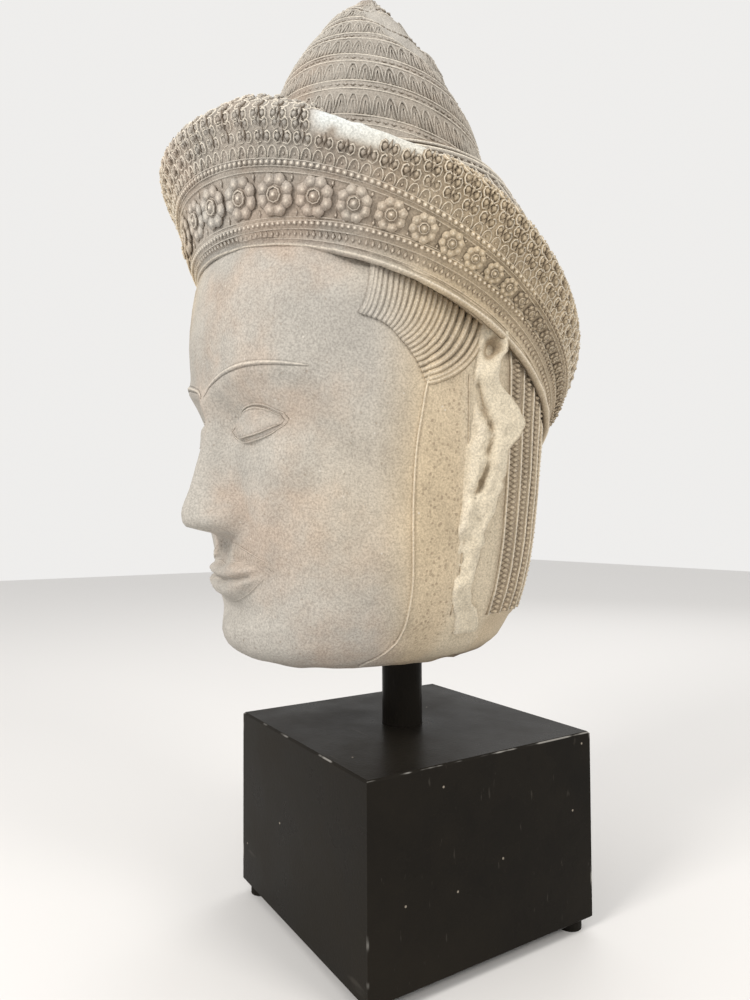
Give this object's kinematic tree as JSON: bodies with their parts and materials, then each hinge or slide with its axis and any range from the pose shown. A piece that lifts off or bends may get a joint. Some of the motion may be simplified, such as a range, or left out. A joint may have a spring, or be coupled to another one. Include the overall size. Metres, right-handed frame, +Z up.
{
  "type": "sandstone vishnu head on a display stand",
  "caption": "Carved sandstone head with a beaded diadem and a conical crown, broken at the neck and ears, held above a black block by a short round post.",
  "frame": {"origin": "middle of the bounding box in plan, on the surface that the feet stand on", "axes": "+Z is up, the face looks along -Y, and the statue's left side is +X"},
  "size_m": [0.3168, 0.328, 0.7268],
  "materials": {
    "sandstone": "fine grained weathered sandstone, grey beige with tan and cream patches",
    "black_post": "satin black paint on a steel post",
    "black_block": "satin black lacquered wooden block with light scratches and worn edges",
    "dark_feet": "small dark brown bumper feet"
  },
  "bodies": {
    "root": {"stone_head": "sandstone", "stand_post": "black_post", "stand_block": "black_block", "foot_front_left": "dark_feet", "foot_back_left": "dark_feet", "foot_front_right": "dark_feet", "foot_back_right": "dark_feet"}
  },
  "joints": []
}
